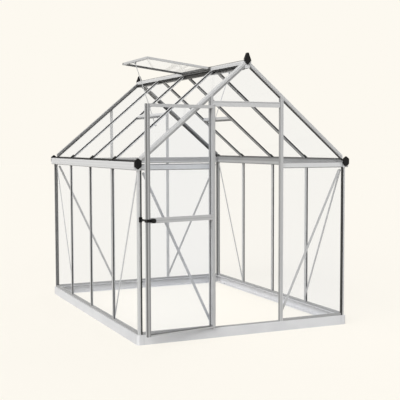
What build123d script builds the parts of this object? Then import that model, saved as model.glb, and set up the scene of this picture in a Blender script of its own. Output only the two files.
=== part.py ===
from build123d import *
import math
import os

os.makedirs("parts", exist_ok=True)

# Glass greenhouse with a gabled roof, an open door and two open roof vents, in millimetres
# The origin is the centre of the base on the ground, +X to the right of the door, +Y to the rear

# Plan and heights
bay_pitch = 617.0
bays_across = 3
bays_along = 4
base_height = 75.0
eave_height = 1311.0
roof_pitch = 40.25
wall_inset = 11.0

# Base rail of folded steel
base_sheet = 2.0
base_flange = 50.0
corner_reach = 50.0
base_chamfer = 14.0
anchor_radius = 5.0
anchor_from_edge = 22.0
anchor_from_end = 120.0

# Glazing
glass = 3.0
glass_clearance = 0.5
glass_set = 9.0
slot_depth = 8.0

# Wall framing
sill_height = 18.0
sill_depth = 26.0
threshold_height = 7.0
post_width = 34.0
post_depth = 16.0
post_chamfer = 8.0
post_step = 13.0
post_recess = 5.0
stud_width = 24.0
stud_depth = 18.0
door_post_width = 33.0
header_below_rake = 3.5
header_width = 43.0
tie_height = 47.0
rear_tie_height = 60.0
tie_depth = 22.0
tie_round = 8.0
brace_width = 20.0
brace_sheet = 3.0
brace_top_drop = 24.0
brace_foot_rise = 28.0

# Gutter and eave
gutter_back_set = 29.5
gutter_back_height = 72.0
gutter_floor_lift = 1.0
gutter_seat_height = 12.0
gutter_width = 56.0
gutter_lip_height = 63.0
gutter_sheet = 3.0
gutter_curl = 7.0
gutter_round = 10.0
cap_thickness = 18.0
cap_lift = 7.0
cap_height = 86.0
cap_half = 28.0

# Roof framing
rake_proud = 10.5
rake_face = 21.0
rake_strip = 16.0
rake_recess = 4.0
rake_depth = 40.0
rake_lip_depth = 16.0
rake_seat = 7.5
rake_round = 6.0
rafter_width = 19.0
rafter_depth = 22.0
roof_glass_set = 10.0
ridge_half = 22.0
ridge_wing = 34.0
ridge_top_half = 10.0
ridge_rise = 12.0
ridge_wing_clear = 0.5
ridge_wing_edge = 24.5
ridge_drop = 37.0
clip_length = 3.0
clip_width = 24.0
clip_height = 7.0
clip_hook = 12.0
finial_half = 31.0
finial_height = 92.0
finial_drop = 40.0
finial_waist = 32.0
finial_thickness = 12.0

# Roof vents
vent_bar_reach = 473.0
vent_bar_width = 25.0
vent_bar_depth = 20.0
vent_leaf_length = 574.0
vent_leaf_lift = 6.9
vent_rail = 20.0
vent_thickness = 18.0
vent_side_gap = 4.0
vent_hinge_gap = 1.75
vent_hinge_drop = 13.0
vent_groove = 8.0
stay_radius = 3.5
stay_stand = 10.0
stay_tail = 98.0
stay_knob_radius = 9.0
stay_knob_length = 18.0
stay_eye = 16.0
stay_plate = 4.0

# Door leaf, which hangs in front of the door posts
door_gap = 6.0
door_thickness = 26.0
door_over_base = 10.0
door_over_header = 7.0
door_latch_set = 5.0
door_stile = 31.0
door_hinge_inset = 14.0
door_hinge_set = 8.0
door_hinge_round = 12.5
door_top_rail = 24.0
door_middle_rail = 39.0
door_bottom_rail = 17.0
door_open_angle = 170.1
door_glass_slot = 7.0
pin_radius = 3.0
pin_clearance = 0.08
pin_length = 22.0
bracket_gap = 1.2
bracket_width = 26.0
bracket_thickness = 8.0

# Handle and catch
handle_height = 945.0
handle_from_edge = 51.0
handle_radius = 17.0
handle_depth = 22.0
handle_tail = 12.0
handle_tail_rise = 6.0
handle_tail_radius = 8.0
keeper_sheet = 1.0
keeper_height = 24.0
spindle_radius = 5.0
spindle_clearance = 0.3
catch_foot_width = 26.0
catch_foot_height = 40.0
catch_foot_thickness = 8.0
catch_arm_radius = 8.0
catch_cup_radius = 11.0
catch_cup_length = 14.0
catch_gap = 2.0

# Places that follow from the sizes
base_half_x = bays_across * bay_pitch / 2
base_half_y = bays_along * bay_pitch / 2
wall_x = base_half_x - wall_inset
wall_y = base_half_y - wall_inset
post_in_x = wall_x - post_width
post_in_y = wall_y - post_width
glass_x = wall_x - glass_set
glass_y = wall_y - glass_set
slot_width = glass + 2 * glass_clearance
sill_top = base_height + sill_height
gutter_in_x = wall_x - gutter_back_set
slope_sin = math.sin(math.radians(roof_pitch))
slope_cos = math.cos(math.radians(roof_pitch))
slope_tan = slope_sin / slope_cos
roof_glass_drop = (roof_glass_set + glass / 2) / slope_cos
back_outer_x = gutter_in_x + gutter_sheet
back_top = eave_height + gutter_back_height
roof_apex = back_top + glass_clearance + roof_glass_drop + slope_tan * back_outer_x
rake_below = rake_face + rake_strip - rake_proud
rake_drop = rake_below / slope_cos
stud_lines = [(index - bays_along / 2) * bay_pitch for index in range(1, bays_along)]
gable_lines = [(index - bays_across / 2) * bay_pitch for index in range(1, bays_across)]
slope_x = [-1, 1]
gable_y = [-1, 1]
far = 2 * base_half_y


def roof_line(x):
    """Height of the roof framing's upper face at a distance from the middle plane."""
    return roof_apex - slope_tan * abs(x)


def outline(points):
    """Flat face bounded by straight lines through the points."""
    return make_face(Polyline(*points, close=True))


def strip(x_low, x_high, y_low, y_high):
    """Flat rectangle between two corners."""
    return Pos((x_low + x_high) / 2, (y_low + y_high) / 2) * Rectangle(x_high - x_low, y_high - y_low)


def block(x_low, x_high, y_low, y_high, z_low, z_high):
    """Box between two corners."""
    return Pos(0, 0, z_low) * extrude(strip(x_low, x_high, y_low, y_high), z_high - z_low)


def upright(section, z_low, z_high):
    """Section drawn in plan, raised between two heights."""
    return Pos(0, 0, z_low) * extrude(section, z_high - z_low)


def along_y(section, y_low, y_high):
    """Section drawn in X and Z, run between two places along Y."""
    plane = Plane(origin=(0, y_high, 0), x_dir=(1, 0, 0), z_dir=(0, -1, 0))
    return extrude(plane * section, y_high - y_low)


def along_x(section, x_low, x_high):
    """Section drawn in Y and Z, run between two places along X."""
    plane = Plane(origin=(x_low, 0, 0), x_dir=(0, 1, 0), z_dir=(1, 0, 0))
    return extrude(plane * section, x_high - x_low)


def down_slope(section, x_low, x_high):
    """Section drawn across the right slope, with zero on the roof line, run between two X values."""
    plane = Plane(origin=(0, 0, roof_apex), x_dir=(0, 1, 0), z_dir=(slope_cos, 0, -slope_sin))
    bar = extrude(plane * section, x_high / slope_cos + rake_below * 2)
    return bar & block(x_low, x_high, -far, far, 0, far)


def flip_x(shape):
    """The same piece on the other side of the middle plane."""
    return mirror(shape, about=Plane.YZ)


def flip_y(shape):
    """The same piece at the other end of the house."""
    return mirror(shape, about=Plane.XZ)


def on_side(shape, side):
    """The piece as drawn for +X, or its mirror image for -X."""
    if side > 0:
        return shape
    return flip_x(shape)


def on_end(shape, end):
    """The piece as drawn for +Y, or its mirror image for -Y."""
    if end > 0:
        return shape
    return flip_y(shape)


def save(node, pieces):
    """Write the pieces of one node to its own file."""
    if len(pieces) == 1:
        shape = pieces[0]
    else:
        shape = Compound(children=[Compound(piece.solids()) for piece in pieces])
    export_step(shape, "parts/" + node + ".step")


# Base rails, each a folded channel that opens inwards, with anchor holes in the lower flange
def base_section(edge):
    web = strip(edge - base_sheet, edge, 0, base_height)
    low_flange = strip(edge - base_flange, edge, 0, base_sheet)
    high_flange = strip(edge - base_flange, edge, base_height - base_sheet, base_height)
    return web + low_flange + high_flange


anchor_x = base_half_x - anchor_from_edge
anchor_y = base_half_y - anchor_from_end
anchor_hole = extrude(Circle(anchor_radius), base_sheet * 2)
side_rail = along_y(base_section(base_half_x), corner_reach - base_half_y, base_half_y - corner_reach)
for end in gable_y:
    side_rail = side_rail - Pos(anchor_x, end * anchor_y, -base_sheet / 2) * anchor_hole
end_rail = along_x(base_section(base_half_y), corner_reach - base_half_x, base_half_x - corner_reach)
save("base_right", [side_rail])
save("base_left", [flip_x(side_rail)])
save("base_rear", [end_rail])
save("base_front", [flip_y(end_rail)])


# Base corner pieces with a chamfered outer edge and a top plate that carries the post
def base_corner():
    square = strip(base_half_x - corner_reach, base_half_x, base_half_y - corner_reach, base_half_y)
    outer_corner = square.vertices().sort_by(lambda corner: corner.X + corner.Y)[-1]
    outer = chamfer(outer_corner, base_chamfer)
    inner = strip(base_half_x - far, base_half_x - base_sheet, base_half_y - far, base_half_y - base_sheet)
    inner_corner = inner.vertices().sort_by(lambda corner: corner.X + corner.Y)[-1]
    inner = chamfer(inner_corner, base_chamfer - base_sheet * (2 - math.sqrt(2)))
    walls = upright(outer - inner, 0, base_height)
    return walls + upright(outer, base_height - base_sheet, base_height)


rear_right_corner = base_corner()
save("base_corners", [on_side(on_end(rear_right_corner, end), side) for end in gable_y for side in slope_x])


# Sills on the base, slotted on top for the glass
def sill_section(edge, glass_line):
    bar = strip(edge - sill_depth, edge, base_height, sill_top)
    slot = strip(glass_line - slot_width / 2, glass_line + slot_width / 2, sill_top - slot_depth, sill_top)
    return bar - slot


side_sill = along_y(sill_section(wall_x, glass_x), -post_in_y, post_in_y)
end_sill_section = sill_section(wall_y, glass_y)
door_post_x = bay_pitch / 2
door_post_out = door_post_x + door_post_width / 2
door_post_in = door_post_x - door_post_width / 2
front_sill = flip_y(along_x(end_sill_section, door_post_out, post_in_x))
save("sill_right", [side_sill])
save("sill_left", [flip_x(side_sill)])
save("sill_rear", [along_x(end_sill_section, -post_in_x, post_in_x)])
save("sill_front", [front_sill, flip_x(front_sill)])
threshold = block(-door_post_in, door_post_in, -wall_y, sill_depth - wall_y,
                  base_height, base_height + threshold_height)
threshold_nose = threshold.edges().filter_by(Axis.X).group_by(Axis.Z)[-1]
save("threshold", [chamfer(threshold_nose, threshold_height / 3)])


# Corner posts of angle section, chamfered outside, set back beside the glass and slotted for it
def corner_post():
    square = strip(post_in_x, wall_x, post_in_y, wall_y)
    outer_corner = square.vertices().sort_by(lambda corner: corner.X + corner.Y)[-1]
    section = chamfer(outer_corner, post_chamfer)
    section = section - strip(post_in_x, wall_x - post_depth, post_in_y, wall_y - post_depth)
    section = section - strip(wall_x - post_recess, wall_x, post_in_y, post_in_y + post_step)
    section = section - strip(post_in_x, post_in_x + post_step, wall_y - post_recess, wall_y)
    side_slot = strip(glass_x - slot_width / 2, glass_x + slot_width / 2, post_in_y, post_in_y + slot_depth)
    end_slot = strip(post_in_x, post_in_x + slot_depth, glass_y - slot_width / 2, glass_y + slot_width / 2)
    return upright(section - side_slot - end_slot, base_height, eave_height)


rear_right_post = corner_post()
save("corner_posts_rear", [rear_right_post, flip_x(rear_right_post)])
save("corner_posts_front", [flip_y(rear_right_post), flip_y(flip_x(rear_right_post))])


# Studs, with a slot for the glass in each edge
def side_stud_section(y):
    bar = strip(wall_x - stud_depth, wall_x, y - stud_width / 2, y + stud_width / 2)
    slot_x = [glass_x - slot_width / 2, glass_x + slot_width / 2]
    low_slot = strip(*slot_x, y - stud_width / 2, y - stud_width / 2 + slot_depth)
    high_slot = strip(*slot_x, y + stud_width / 2 - slot_depth, y + stud_width / 2)
    return bar - low_slot - high_slot


def end_stud_section(x, width, edge, glass_line, slotted):
    bar = strip(x - width / 2, x + width / 2, edge - stud_depth, edge)
    slot_y = [glass_line - slot_width / 2, glass_line + slot_width / 2]
    for side in slotted:
        inner = x + side * (width / 2 - slot_depth)
        outer = x + side * width / 2
        bar = bar - strip(min(inner, outer), max(inner, outer), *slot_y)
    return bar


def under_rakes(shape, below):
    """The shape cut off at a distance below both slopes of the roof line."""
    low = roof_apex - below / slope_cos
    gable = outline([(-far, low - slope_tan * far), (0, low), (far, low - slope_tan * far)])
    return shape & along_y(gable, -far, far)


side_studs = [upright(side_stud_section(y), sill_top, eave_height) for y in stud_lines]
save("studs_right", side_studs)
save("studs_left", [flip_x(stud) for stud in side_studs])


def over_rake_strip(x, width):
    """Front of an end stud that laps the set-back strip of the rake."""
    lap = strip(x - width / 2, x + width / 2, wall_y - rake_recess, wall_y)
    return under_rakes(upright(lap, eave_height, roof_apex), rake_below - rake_strip)


rear_studs = []
for x in gable_lines:
    rear_section = end_stud_section(x, stud_width, wall_y, glass_y, slope_x)
    rear_stud = under_rakes(upright(rear_section, sill_top, roof_apex), rake_below)
    rear_studs.append(rear_stud + over_rake_strip(x, stud_width))
save("studs_rear", rear_studs)


# Door posts, slotted for the side glass all the way up and for the gable glass over the header
header_top = roof_line(door_post_out) - rake_drop - header_below_rake
header_low = header_top - header_width


def door_post():
    low_section = end_stud_section(door_post_x, door_post_width, wall_y, glass_y, [1])
    high_section = end_stud_section(door_post_x, door_post_width, wall_y, glass_y, slope_x)
    slot_foot = header_top - slot_depth
    low = upright(low_section, base_height, slot_foot)
    high = upright(high_section, slot_foot, roof_apex)
    return flip_y(under_rakes(low + high, rake_below) + over_rake_strip(door_post_x, door_post_width))


right_door_post = door_post()
save("door_posts", [right_door_post, flip_x(right_door_post)])
header_section = strip(wall_y - stud_depth, wall_y, header_low, header_top)
header_slot = strip(glass_y - slot_width / 2, glass_y + slot_width / 2, header_top - slot_depth, header_top)
save("door_header", [flip_y(along_x(header_section - header_slot, -door_post_in, door_post_in))])


# Tie beams at the eaves, inside the glass
def tie(x_low, x_high, y_low, height):
    section = strip(y_low, y_low + tie_depth, eave_height, eave_height + height)
    section = fillet(section.vertices(), tie_round)
    return along_x(section, x_low, x_high)


tie_inset = glass_set + glass / 2 + glass_clearance
front_tie = flip_y(tie(door_post_out, gutter_in_x, wall_y - tie_inset - tie_depth, tie_height))
save("ties_front", [front_tie, flip_x(front_tie)])
rear_tie = tie(-gutter_in_x, gutter_in_x, wall_y - stud_depth - tie_depth, rear_tie_height)
save("tie_rear", [under_rakes(rear_tie, rake_below)])


# Gutters, with the trough outside the wall and a slot below for the wall glass
def gutter_section():
    wall_line = gutter_back_set
    outer = gutter_width
    floor = gutter_floor_lift
    lip = gutter_lip_height
    sheet = gutter_sheet
    glass_line = wall_line - glass_set
    trough = strip(0, outer, floor, lip) - strip(sheet, outer - sheet, floor + sheet, lip)
    outer_corner = trough.vertices().sort_by(lambda corner: corner.X - corner.Y)[-1]
    trough = fillet(outer_corner, gutter_round)
    lower = trough.vertices().filter_by(lambda corner: abs(corner.X - (outer - sheet)) < sheet / 2)
    trough = fillet(lower.sort_by(Axis.Y)[0], gutter_round - sheet)
    back = strip(0, sheet, 0, gutter_back_height)
    curl = strip(outer - gutter_curl, outer, lip - sheet, lip)
    seat = strip(0, wall_line, 0, gutter_seat_height)
    slot = strip(glass_line - slot_width / 2, glass_line + slot_width / 2, 0, slot_depth)
    return trough + back + curl + seat - slot


def gutter_stop():
    """Plate that closes the trough's end."""
    plate = strip(0, gutter_width, gutter_floor_lift, gutter_lip_height)
    outer_corner = plate.vertices().sort_by(lambda corner: corner.X - corner.Y)[-1]
    plate = fillet(outer_corner, gutter_round) + strip(0, gutter_back_set, 0, gutter_seat_height)
    return Pos(gutter_in_x, eave_height) * plate


gutter = along_y(Pos(gutter_in_x, eave_height) * gutter_section(), -wall_y, wall_y)
gutter = gutter + along_y(gutter_stop(), wall_y - gutter_sheet, wall_y)
gutter = gutter + along_y(gutter_stop(), -wall_y, gutter_sheet - wall_y)
save("gutter_right", [gutter])
save("gutter_left", [flip_x(gutter)])


# Pointed six-sided caps over the ends of the gutters
def gutter_cap():
    mid_x = gutter_in_x + gutter_width / 2
    low_x = mid_x - cap_half
    high_x = mid_x + cap_half
    low_z = eave_height + cap_lift
    high_z = low_z + cap_height
    shoulder = cap_height / 4
    points = [(mid_x, low_z), (high_x, low_z + shoulder), (high_x, high_z - shoulder)]
    points += [(mid_x, high_z), (low_x, high_z - shoulder), (low_x, low_z + shoulder)]
    hexagon = outline(points)
    hexagon = fillet(hexagon.vertices(), shoulder / 4)
    cap = along_y(hexagon, wall_y, wall_y + cap_thickness)
    return chamfer(cap.faces().sort_by(Axis.Y)[-1].edges(), cap_thickness / 4)


rear_right_cap = gutter_cap()
save("gutter_caps", [on_side(on_end(rear_right_cap, end), side) for end in gable_y for side in slope_x])


# Rakes along the gables, slotted below for the gable glass and inwards for the roof glass
def rear_rake():
    face_low = rake_strip - rake_below
    section = strip(wall_y - rake_depth, wall_y, face_low, rake_proud)
    nose = section.vertices().sort_by(lambda corner: corner.X + corner.Y)[-1]
    section = fillet(nose, rake_round)
    section = section + strip(wall_y - rake_lip_depth, wall_y - rake_recess, -rake_below, face_low)
    section = section + strip(wall_y - rake_depth, wall_y - rake_lip_depth, face_low - rake_seat, face_low)
    section = section - strip(glass_y - slot_width / 2, glass_y + slot_width / 2, -rake_below,
                              slot_depth - rake_below)
    section = section - strip(wall_y - rake_depth, wall_y - rake_depth + slot_depth,
                              -roof_glass_set - slot_width / 2, -roof_glass_set + slot_width / 2)
    under_wing = section & strip(wall_y - rake_depth, wall_y, -rake_below, 0)
    wing_end = ridge_wing + glass_clearance
    return down_slope(section, wing_end, gutter_in_x) + down_slope(under_wing, ridge_half, wing_end)


right_rake = rear_rake()
save("rakes_rear", [right_rake, flip_x(right_rake)])
save("rakes_front", [flip_y(right_rake), flip_y(flip_x(right_rake))])


# Rafters, with a slot for the roof glass in each edge and a tongue that follows the glass over the gutter
eave_glass_x = gutter_in_x + gutter_sheet * 5


def rafter(y):
    section = strip(y - rafter_width / 2, y + rafter_width / 2, -rafter_depth, 0)
    slot_z = [-roof_glass_set - slot_width / 2, -roof_glass_set + slot_width / 2]
    section = section - strip(y - rafter_width / 2, y - rafter_width / 2 + slot_depth, *slot_z)
    section = section - strip(y + rafter_width / 2 - slot_depth, y + rafter_width / 2, *slot_z)
    tongue = strip(y - rafter_width / 2, y + rafter_width / 2, slot_z[1], 0)
    return down_slope(section, ridge_half, gutter_in_x) + down_slope(tongue, gutter_in_x, eave_glass_x)


right_rafters = [rafter(y) for y in stud_lines]
save("rafters_right", right_rafters)
save("rafters_left", [flip_x(bar) for bar in right_rafters])


# Clips on the rafter feet, hooked over the lower edge of the glass
def clip(y):
    section = strip(y - clip_width / 2, y + clip_width / 2, 0, clip_height)
    hook = strip(y - clip_width / 2, y + clip_width / 2, -roof_glass_set - slot_width / 2, clip_height)
    top = down_slope(section, gutter_in_x - clip_length, eave_glass_x + clip_hook)
    return top + down_slope(hook, eave_glass_x + glass_clearance, eave_glass_x + clip_hook)


clips = []
for side in slope_x:
    clips += [on_side(clip(y), side) for y in stud_lines]
save("rafter_clips", clips)

# Ridge beam with a slot each side for the roof glass
ridge_top = roof_apex + ridge_rise
wing_root = roof_line(ridge_half) + ridge_wing_clear
wing_low = roof_line(ridge_wing) + ridge_wing_clear
wing_top = wing_low + ridge_wing_edge
ridge_low = roof_line(ridge_half) - ridge_drop
ridge_right = [(0, ridge_low), (ridge_half, ridge_low), (ridge_half, wing_root), (ridge_wing, wing_low),
               (ridge_wing, wing_top), (ridge_top_half, ridge_top), (0, ridge_top)]
ridge_left = [(-x, z) for x, z in reversed(ridge_right[1:-1])]
ridge_section = outline(ridge_right + ridge_left)
ridge_slot_z = roof_line(ridge_half) - roof_glass_set / slope_cos
ridge_slot = Rectangle(2 * slot_depth / slope_cos, slot_width)
for side in slope_x:
    slot_place = Pos(side * ridge_half, ridge_slot_z) * Rot(0, 0, -side * roof_pitch)
    ridge_section = ridge_section - slot_place * ridge_slot
save("ridge_beam", [along_y(ridge_section, -wall_y, wall_y)])


# Kite-shaped finials over the two ends of the ridge
def ridge_cap():
    low_z = ridge_top - finial_drop
    waist_z = low_z + finial_waist
    high_z = low_z + finial_height
    points = [(-finial_half / 6, low_z), (finial_half / 6, low_z), (finial_half, waist_z),
              (finial_half / 4, high_z), (-finial_half / 4, high_z), (-finial_half, waist_z)]
    section = fillet(outline(points).vertices(), finial_half / 6)
    front = along_y(section, wall_y, wall_y + finial_thickness)
    front = chamfer(front.faces().sort_by(Axis.Y)[-1].edges(), finial_thickness / 5)
    over_ridge = section & strip(-finial_half, finial_half, ridge_top, high_z)
    return front + along_y(over_ridge, wall_y - finial_thickness, wall_y)


rear_cap = ridge_cap()
save("ridge_caps", [rear_cap, flip_y(rear_cap)])

# Cross bars below the roof vents, in the second bay from the front and its mirror on the right
vent_low_y = -bay_pitch
vent_high_y = 0.0
bar_low_y = vent_low_y + rafter_width / 2
bar_high_y = vent_high_y - rafter_width / 2
vent_bar_x = vent_bar_reach - vent_bar_width * slope_cos


def vent_bar():
    bar = down_slope(strip(bar_low_y, bar_high_y, -vent_bar_depth, 0), vent_bar_x, vent_bar_reach)
    slot = strip(bar_low_y, bar_high_y, -roof_glass_set - slot_width / 2, -roof_glass_set + slot_width / 2)
    return bar - down_slope(slot, vent_bar_reach - slot_depth * slope_cos, vent_bar_reach)


right_vent_bar = flip_y(vent_bar())
save("vent_bars", [flip_x(vent_bar()), right_vent_bar])

# Roof glass
edge_hold = slot_depth - glass_clearance * 2


def roof_pane(y_low, y_high, x_low):
    section = strip(y_low, y_high, -roof_glass_set - glass / 2, -roof_glass_set + glass / 2)
    return down_slope(section, x_low, eave_glass_x)


def roof_panes(vent_bay):
    """Panes of the right slope, with the vented bay glazed below its cross bar only."""
    lines = [-wall_y + rake_depth - rafter_width / 2] + stud_lines + [wall_y - rake_depth + rafter_width / 2]
    panes = []
    for bay in range(bays_along):
        y_low = lines[bay] + rafter_width / 2 - edge_hold
        y_high = lines[bay + 1] - rafter_width / 2 + edge_hold
        x_low = ridge_half - edge_hold * slope_cos
        if bay == vent_bay:
            x_low = vent_bar_reach - edge_hold * slope_cos
        panes.append(roof_pane(y_low, y_high, x_low))
    return panes


save("roof_panes_right", roof_panes(bays_along // 2))
save("roof_panes_left", [flip_x(pane) for pane in roof_panes(bays_along // 2 - 1)])


# Wall glass between the sills and the gutters
pane_low = sill_top - edge_hold
pane_high = eave_height + edge_hold


def side_panes():
    lines = [-post_in_y - stud_width / 2] + stud_lines + [post_in_y + stud_width / 2]
    panes = []
    for bay in range(bays_along):
        y_low = lines[bay] + stud_width / 2 - edge_hold
        y_high = lines[bay + 1] - stud_width / 2 + edge_hold
        panes.append(block(glass_x - glass / 2, glass_x + glass / 2, y_low, y_high, pane_low, pane_high))
    return panes


right_panes = side_panes()
save("panes_right", right_panes)
save("panes_left", [flip_x(pane) for pane in right_panes])


# Gable glass, cut to the slope under the rakes
def gable_pane(x_low, x_high, z_low):
    """Pane of the rear gable between two X values, up into the slot of the rakes."""
    low = roof_apex - rake_drop + edge_hold / slope_cos
    gable = outline([(-far, low - slope_tan * far), (0, low), (far, low - slope_tan * far)])
    gable = gable & strip(x_low, x_high, z_low, ridge_low - glass_clearance)
    return along_y(gable, glass_y - glass / 2, glass_y + glass / 2)


side_edge = min(post_in_x + edge_hold, gutter_in_x - glass_clearance)
rear_edges = [-side_edge]
for x in gable_lines:
    rear_edges += [x - stud_width / 2 + edge_hold, x + stud_width / 2 - edge_hold]
rear_edges.append(side_edge)
rear_panes = [gable_pane(rear_edges[2 * bay], rear_edges[2 * bay + 1], pane_low) for bay in range(bays_across)]
save("panes_rear", rear_panes)
front_side_pane = flip_y(gable_pane(door_post_out - edge_hold, side_edge, pane_low))
header_pane_half = door_post_in + edge_hold
header_pane = flip_y(gable_pane(-header_pane_half, header_pane_half, header_top - edge_hold))
save("panes_front", [front_side_pane, flip_x(front_side_pane), header_pane])


# Diagonal flat braces, from the top of a corner to the foot of the next stud
brace_top = eave_height - brace_top_drop
brace_foot = sill_top + brace_foot_rise


def brace_outline(near, out):
    """Round-ended strip from a foot near the stud to a top near the corner post."""
    length = math.hypot(out - near, brace_top - brace_foot)
    angle = math.degrees(math.atan2(brace_top - brace_foot, out - near))
    middle = Pos((near + out) / 2, (brace_top + brace_foot) / 2)
    return middle * Rot(0, 0, angle) * SlotCenterToCenter(length, brace_width)


side_brace = along_x(brace_outline(stud_lines[-1], post_in_y - brace_width),
                     wall_x - stud_depth - brace_sheet, wall_x - stud_depth)
rear_brace = along_y(brace_outline(gable_lines[-1], post_in_x - brace_width),
                     wall_y - stud_depth - brace_sheet, wall_y - stud_depth)
save("braces_sides", [on_side(on_end(side_brace, end), side) for end in gable_y for side in slope_x])
save("braces_gables", [on_side(on_end(rear_brace, end), side) for end in gable_y for side in slope_x])


# Roof vent leaves, standing open, hinged beside the ridge
leaf_low_x = ridge_wing + vent_hinge_gap
leaf_low_z = wing_top - vent_hinge_drop
leaf_plane = Plane(origin=(leaf_low_x, 0, leaf_low_z), x_dir=(0, 1, 0),
                   z_dir=(math.cos(math.radians(vent_leaf_lift)), 0, math.sin(math.radians(vent_leaf_lift))))


def leaf_block(y_low, y_high, t_low, t_high, s_low, s_high):
    """Block in the open leaf's own directions: along Y, through its thickness, out from its hinge."""
    return extrude(leaf_plane.offset(s_low) * strip(y_low, y_high, t_low, t_high), s_high - s_low)


leaf_y = [-bay_pitch + vent_side_gap, -vent_side_gap]
leaf_in_y = [leaf_y[0] + vent_rail, leaf_y[1] - vent_rail]


def vent_frame():
    whole = leaf_block(*leaf_y, 0, vent_thickness, 0, vent_leaf_length)
    hole = leaf_block(*leaf_in_y, -vent_thickness, 2 * vent_thickness, vent_rail, vent_leaf_length - vent_rail)
    mid = vent_thickness / 2
    groove = leaf_block(leaf_in_y[0] - vent_groove, leaf_in_y[1] + vent_groove, mid - slot_width / 2,
                        mid + slot_width / 2, vent_rail - vent_groove, vent_leaf_length - vent_rail + vent_groove)
    return whole - hole - groove


def vent_pane():
    hold = vent_groove - glass_clearance
    mid = vent_thickness / 2
    return leaf_block(leaf_in_y[0] - hold, leaf_in_y[1] + hold, mid - glass / 2, mid + glass / 2,
                      vent_rail - hold, vent_leaf_length - vent_rail + hold)


left_frame = flip_x(vent_frame())
left_pane = flip_x(vent_pane())
save("vent_frame_left", [left_frame])
save("vent_frame_right", [flip_x(flip_y(left_frame))])
save("vent_panes", [left_pane, flip_x(flip_y(left_pane))])

# Stays that hold the vents open, each with an eye under the outer rail and a knob at its foot
leaf_rise = math.sin(math.radians(vent_leaf_lift))
leaf_run = math.cos(math.radians(vent_leaf_lift))
stay_s = vent_leaf_length - vent_rail / 2
stay_top_x = leaf_low_x + stay_s * leaf_run
stay_top_z = leaf_low_z + stay_s * leaf_rise
stay_y = -bay_pitch / 2
bracket_z = roof_line(vent_bar_x) - vent_bar_depth / 2
stay_top = Vector(stay_top_x, stay_y, stay_top_z - stay_eye / 2)
stay_cross = Vector(vent_bar_x - stay_stand, stay_y, bracket_z - stay_plate / 2)
stay_direction = (stay_cross - stay_top).normalized()
stay_foot = stay_cross + stay_direction * stay_tail
stay_line = stay_foot - stay_top


def stay_rod():
    plane = Plane(origin=stay_top, x_dir=(0, 1, 0), z_dir=stay_direction)
    rod = extrude(plane * Circle(stay_radius), stay_line.length)
    knob_start = stay_foot - stay_direction * stay_knob_length
    knob_plane = Plane(origin=knob_start, x_dir=(0, 1, 0), z_dir=stay_direction)
    knob = extrude(knob_plane * Circle(stay_knob_radius), stay_knob_length)
    knob = chamfer(knob.edges(), stay_knob_radius / 4)
    eye = leaf_block(stay_y - stay_eye / 2, stay_y + stay_eye / 2, -stay_eye, 0,
                     stay_s - stay_eye / 2, stay_s + stay_eye / 2)
    return rod + knob + eye


def stay_bracket():
    """Plate from the vent bar to the stay, with a hole that the stay passes through."""
    plate = block(stay_cross.X - stay_eye, vent_bar_x, stay_y - stay_eye / 2, stay_y + stay_eye / 2,
                  bracket_z - stay_plate, bracket_z)
    passage_plane = Plane(origin=stay_top, x_dir=(0, 1, 0), z_dir=stay_direction)
    return plate - extrude(passage_plane * Circle(stay_radius + glass_clearance), stay_line.length)


save("vent_stays", [flip_x(stay_rod()), flip_y(stay_rod())])
save("stay_brackets", [flip_x(stay_bracket()), flip_y(stay_bracket())])

# Door leaf, drawn closed in front of the door posts and then swung open
hinge_x = -door_post_x + door_hinge_set
leaf_inner_y = -wall_y - door_gap
leaf_outer_y = leaf_inner_y - door_thickness
leaf_mid_y = leaf_inner_y - door_thickness / 2
leaf_left = hinge_x - door_hinge_inset
leaf_right = door_post_x - door_latch_set
door_bottom = base_height + door_over_base
door_top = header_low + door_over_header
door_slot_y = [leaf_mid_y - slot_width / 2, leaf_mid_y + slot_width / 2]
door_axis = Axis((hinge_x, leaf_mid_y, 0), (0, 0, 1))


def swung(shape):
    """The closed leaf's piece at the angle at which the door stands open."""
    return shape.rotate(door_axis, -door_open_angle)


def hinge_stile():
    bar = strip(leaf_left, leaf_left + door_stile, leaf_outer_y, leaf_inner_y)
    bar = fillet(bar.vertices().group_by(Axis.X)[0], door_hinge_round)
    bar = bar - strip(leaf_left + door_stile - door_glass_slot, leaf_left + door_stile, *door_slot_y)
    stile = upright(bar, door_bottom, door_top)
    for z_low in [door_bottom, door_top - pin_length]:
        hole = Pos(hinge_x, leaf_mid_y, z_low) * Circle(pin_radius + pin_clearance)
        stile = stile - extrude(hole, pin_length)
    return stile


def latch_stile():
    bar = strip(leaf_right - door_stile, leaf_right, leaf_outer_y, leaf_inner_y)
    bar = bar - strip(leaf_right - door_stile, leaf_right - door_stile + door_glass_slot, *door_slot_y)
    return upright(bar, door_bottom, door_top)


def door_rail(z_low, z_high, slot_low, slot_high):
    section = strip(leaf_outer_y, leaf_inner_y, z_low, z_high)
    if slot_low:
        section = section - strip(*door_slot_y, z_low, z_low + door_glass_slot)
    if slot_high:
        section = section - strip(*door_slot_y, z_high - door_glass_slot, z_high)
    return along_x(section, leaf_left + door_stile, leaf_right - door_stile)


def through_leaf(x, z, radius, y_low, y_high):
    """Round bar across the leaf's thickness."""
    plane = Plane(origin=(x, y_low, z), x_dir=(1, 0, 0), z_dir=(0, 1, 0))
    return extrude(plane * Circle(radius), y_high - y_low)


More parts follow.
